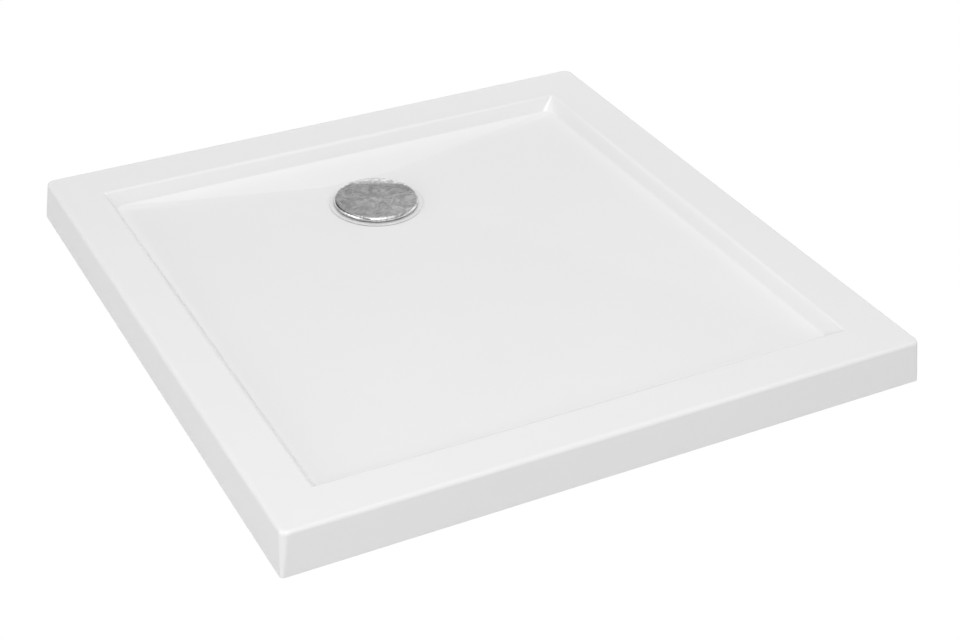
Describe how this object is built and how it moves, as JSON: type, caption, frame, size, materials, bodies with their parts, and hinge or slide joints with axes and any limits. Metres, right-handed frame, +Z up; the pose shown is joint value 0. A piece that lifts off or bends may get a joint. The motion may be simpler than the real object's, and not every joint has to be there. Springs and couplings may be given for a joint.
{
  "type": "shower tray",
  "caption": "Low square acrylic shower tray with a skirt, a wide flat rim, a falling floor and a round polished waste cover, on levelling feet with its trap.",
  "frame": {"origin": "middle of the tray in plan, at the level of the foot soles", "axes": "+Z up; +Y towards the wall side nearest the waste; +X towards the other wall side; -Y and -X are the open sides"},
  "size_m": [0.8, 0.8, 0.103],
  "materials": {
    "acrylic": "glossy white sanitary acrylic",
    "laminate": "rough glass-fibre reinforced resin",
    "resin": "cast filled resin",
    "particle_board": "raw particle board",
    "batten": "planed softwood",
    "zinc_steel": "zinc-plated steel",
    "foot_plastic": "black moulded plastic",
    "waste_plastic": "white moulded plastic",
    "tube_plastic": "grey moulded plastic",
    "seal_rubber": "black rubber",
    "cover_chrome": "polished chrome",
    "carrier_plastic": "white moulded plastic"
  },
  "bodies": {
    "tray": {"acrylic_shell": "acrylic", "laminate_backing": "laminate", "bedding_resin": "resin", "base_board": "particle_board", "rim_batten_front": "batten", "rim_batten_back": "batten", "rim_batten_left": "batten", "rim_batten_right": "batten", "bracket_screws": "zinc_steel", "lock_nuts": "zinc_steel", "waste_ring": "waste_plastic", "trap_bowl": "waste_plastic", "outlet_chamber": "waste_plastic", "outlet_spigot": "waste_plastic", "upper_gasket": "seal_rubber", "lower_gasket": "seal_rubber", "foot_bracket_front_left": "zinc_steel", "foot_bracket_front_right": "zinc_steel", "foot_bracket_back_left": "zinc_steel", "foot_bracket_back_right": "zinc_steel", "foot_bracket_centre": "zinc_steel"},
    "dip_tube": {"dip_tube": "tube_plastic", "dip_tube_handle": "tube_plastic", "dip_tube_seal": "seal_rubber"},
    "cover": {"cover_plate": "cover_chrome", "cover_carrier": "carrier_plastic"},
    "foot_front_left": {"foot_stud_front_left": "zinc_steel", "foot_pad_front_left": "foot_plastic"},
    "foot_front_right": {"foot_stud_front_right": "zinc_steel", "foot_pad_front_right": "foot_plastic"},
    "foot_back_left": {"foot_stud_back_left": "zinc_steel", "foot_pad_back_left": "foot_plastic"},
    "foot_back_right": {"foot_stud_back_right": "zinc_steel", "foot_pad_back_right": "foot_plastic"},
    "foot_centre": {"foot_stud_centre": "zinc_steel", "foot_pad_centre": "foot_plastic"}
  },
  "joints": [
    {"name": "dip_tube_lift", "type": "slide", "parent": "tray", "child": "dip_tube", "axis": [0, 0, 1], "range_m": [0, 0.08]},
    {"name": "cover_lift", "type": "slide", "parent": "dip_tube", "child": "cover", "axis": [0, 0, 1], "range_m": [0, 0.06]},
    {"name": "foot_front_left_height", "type": "slide", "parent": "tray", "child": "foot_front_left", "axis": [0, 0, -1], "range_m": [0, 0.015]},
    {"name": "foot_front_right_height", "type": "slide", "parent": "tray", "child": "foot_front_right", "axis": [0, 0, -1], "range_m": [0, 0.015]},
    {"name": "foot_back_left_height", "type": "slide", "parent": "tray", "child": "foot_back_left", "axis": [0, 0, -1], "range_m": [0, 0.015]},
    {"name": "foot_back_right_height", "type": "slide", "parent": "tray", "child": "foot_back_right", "axis": [0, 0, -1], "range_m": [0, 0.015]},
    {"name": "foot_centre_height", "type": "slide", "parent": "tray", "child": "foot_centre", "axis": [0, 0, -1], "range_m": [0, 0.015]}
  ]
}
